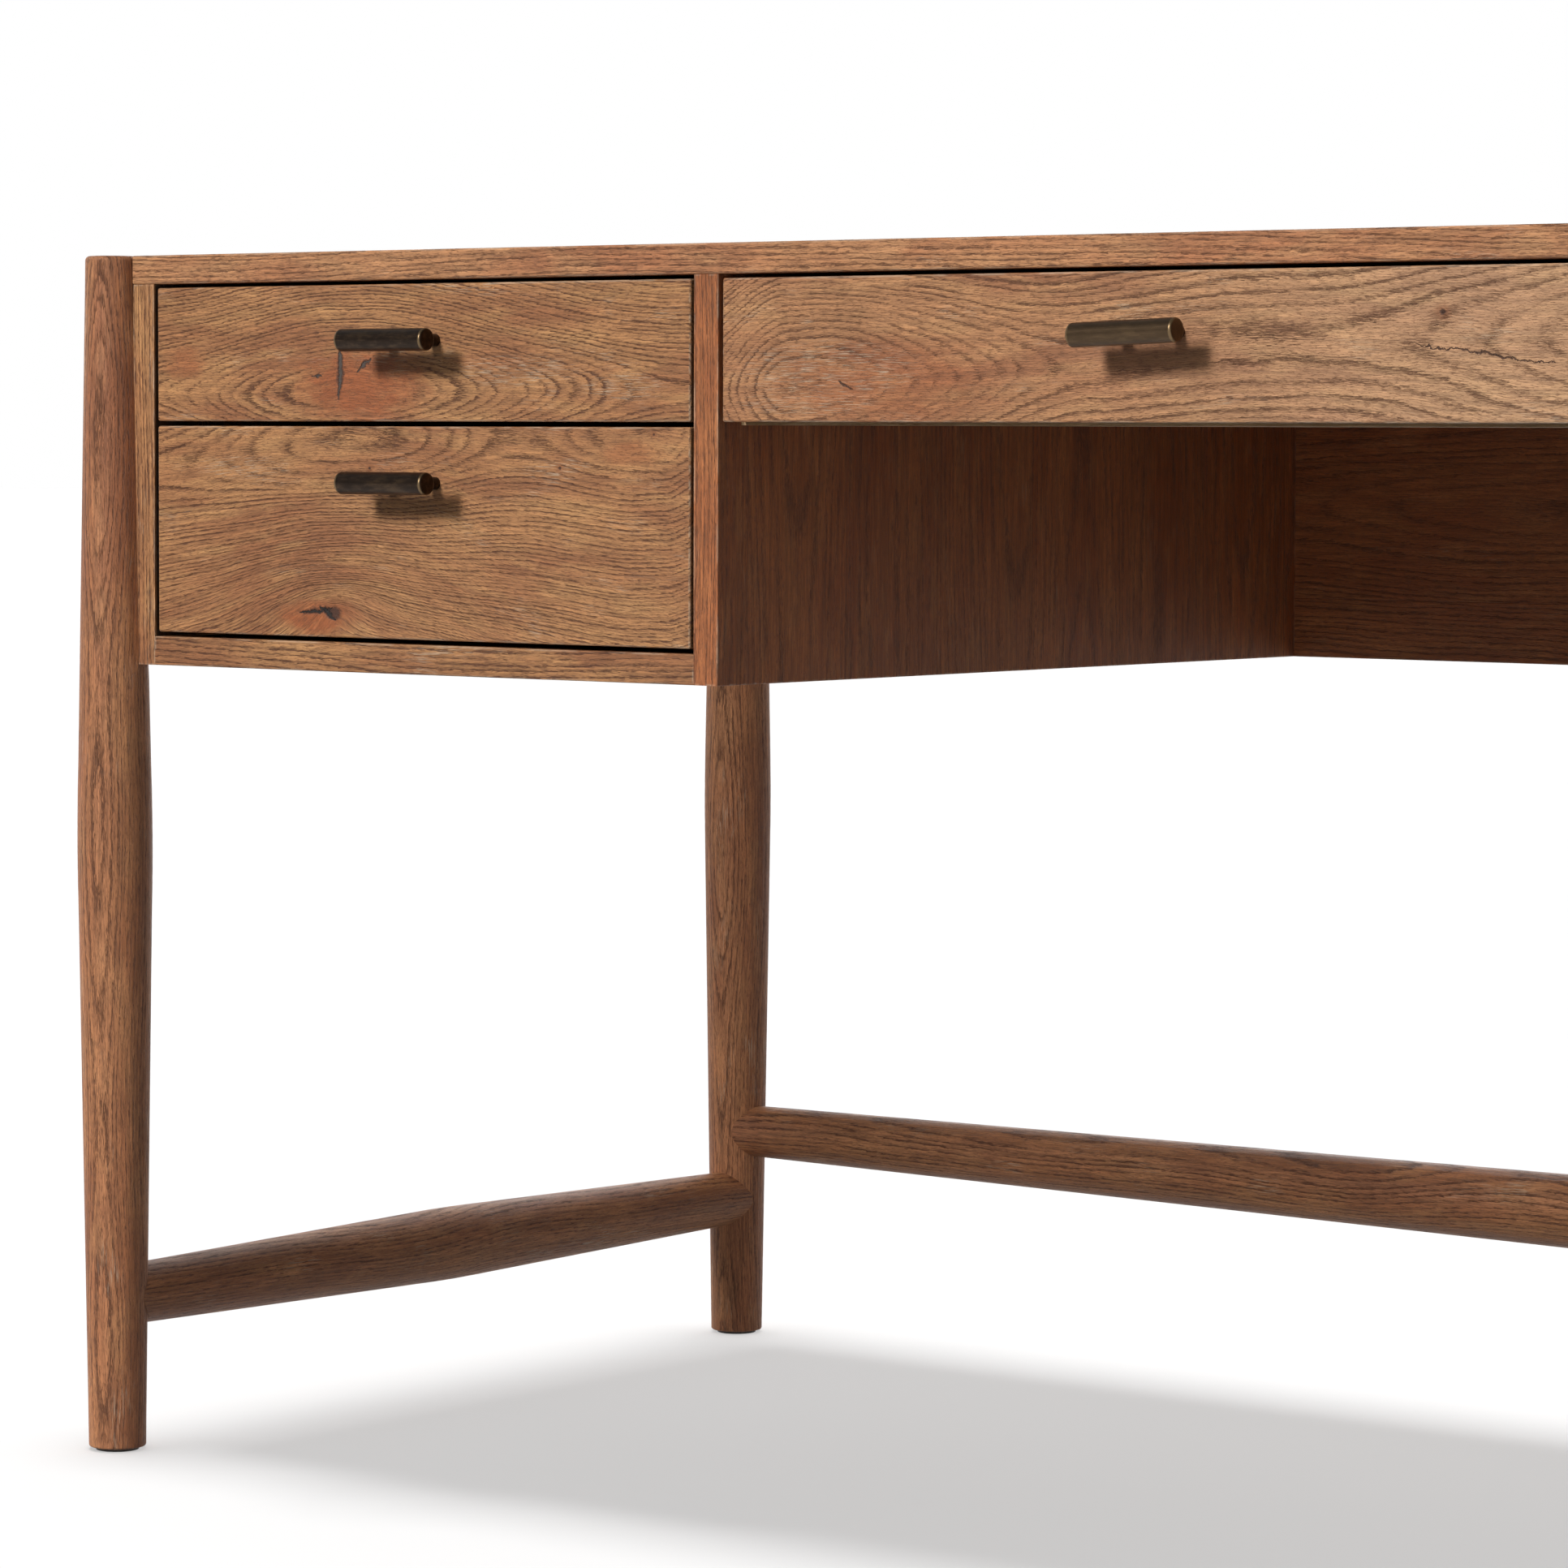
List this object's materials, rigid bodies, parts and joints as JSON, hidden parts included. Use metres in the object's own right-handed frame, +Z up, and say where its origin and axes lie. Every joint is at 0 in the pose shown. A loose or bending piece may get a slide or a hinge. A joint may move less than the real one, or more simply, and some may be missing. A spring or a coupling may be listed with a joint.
{
  "type": "writing desk",
  "caption": "Kneehole writing desk in worn oak: turned corner legs with stretchers, one long top, a drawer over the kneehole and stacked pedestal drawers with round bar pulls.",
  "frame": {"origin": "on the floor, under the middle of the desk's bounding box", "axes": "+X to the right across the desk as its user faces it, +Y to the back, +Z up; the drawers open towards -Y"},
  "size_m": [1.6818, 0.7017, 0.775],
  "materials": {
    "oak_top": "open-grained brown oak, worn wax",
    "oak_leg": "turned brown oak, worn wax",
    "oak_stretcher": "turned brown oak, worn wax",
    "oak_front": "figured brown oak with knots, worn wax",
    "oak_side": "brown oak, vertical grain",
    "oak_bottom": "brown oak, grain across the desk",
    "oak_back": "brown oak, grain across the desk",
    "runner_wood": "bare hardwood",
    "plywood": "thin plywood, lacquered",
    "box_wood": "pale drawer wood, lacquered",
    "bronze": "dark bronze with worn highlights",
    "steel": "zinc-plated",
    "nylon": "moulded"
  },
  "bodies": {
    "desk_frame": {"back_panel": "oak_back", "corner_blocks": "runner_wood", "dust_panel": "plywood", "floor_glides": "nylon", "inner_side_left": "oak_side", "inner_side_right": "oak_side", "leg_bolts": "steel", "leg_front_left": "oak_leg", "leg_front_right": "oak_leg", "leg_rear_left": "oak_leg", "leg_rear_right": "oak_leg", "outer_side_left": "oak_side", "outer_side_right": "oak_side", "pedestal_bottom_left": "oak_bottom", "pedestal_bottom_right": "oak_bottom", "runners_centre": "runner_wood", "runners_left_lower": "runner_wood", "runners_left_upper": "runner_wood", "runners_right_lower": "runner_wood", "runners_right_upper": "runner_wood", "stretcher_back": "oak_stretcher", "stretcher_left": "oak_stretcher", "stretcher_right": "oak_stretcher", "tabletop": "oak_top"},
    "drawer_left_upper": {"drawer_left_upper_back": "box_wood", "drawer_left_upper_bottom": "plywood", "drawer_left_upper_front": "oak_front", "drawer_left_upper_pull": "bronze", "drawer_left_upper_screws": "steel", "drawer_left_upper_side_left": "box_wood", "drawer_left_upper_side_right": "box_wood"},
    "drawer_left_lower": {"drawer_left_lower_back": "box_wood", "drawer_left_lower_bottom": "plywood", "drawer_left_lower_front": "oak_front", "drawer_left_lower_pull": "bronze", "drawer_left_lower_screws": "steel", "drawer_left_lower_side_left": "box_wood", "drawer_left_lower_side_right": "box_wood"},
    "drawer_centre": {"drawer_centre_back": "box_wood", "drawer_centre_bottom": "plywood", "drawer_centre_front": "oak_front", "drawer_centre_pull": "bronze", "drawer_centre_screws": "steel", "drawer_centre_side_left": "box_wood", "drawer_centre_side_right": "box_wood"},
    "drawer_right_upper": {"drawer_right_upper_back": "box_wood", "drawer_right_upper_bottom": "plywood", "drawer_right_upper_front": "oak_front", "drawer_right_upper_pull": "bronze", "drawer_right_upper_screws": "steel", "drawer_right_upper_side_left": "box_wood", "drawer_right_upper_side_right": "box_wood"},
    "drawer_right_lower": {"drawer_right_lower_back": "box_wood", "drawer_right_lower_bottom": "plywood", "drawer_right_lower_front": "oak_front", "drawer_right_lower_pull": "bronze", "drawer_right_lower_screws": "steel", "drawer_right_lower_side_left": "box_wood", "drawer_right_lower_side_right": "box_wood"}
  },
  "joints": [
    {"name": "drawer_left_upper_slide", "type": "slide", "parent": "desk_frame", "child": "drawer_left_upper", "axis": [0, -1, 0], "range_m": [0, 0.42]},
    {"name": "drawer_left_lower_slide", "type": "slide", "parent": "desk_frame", "child": "drawer_left_lower", "axis": [0, -1, 0], "range_m": [0, 0.42]},
    {"name": "drawer_centre_slide", "type": "slide", "parent": "desk_frame", "child": "drawer_centre", "axis": [0, -1, 0], "range_m": [0, 0.35]},
    {"name": "drawer_right_upper_slide", "type": "slide", "parent": "desk_frame", "child": "drawer_right_upper", "axis": [0, -1, 0], "range_m": [0, 0.42]},
    {"name": "drawer_right_lower_slide", "type": "slide", "parent": "desk_frame", "child": "drawer_right_lower", "axis": [0, -1, 0], "range_m": [0, 0.42]}
  ]
}
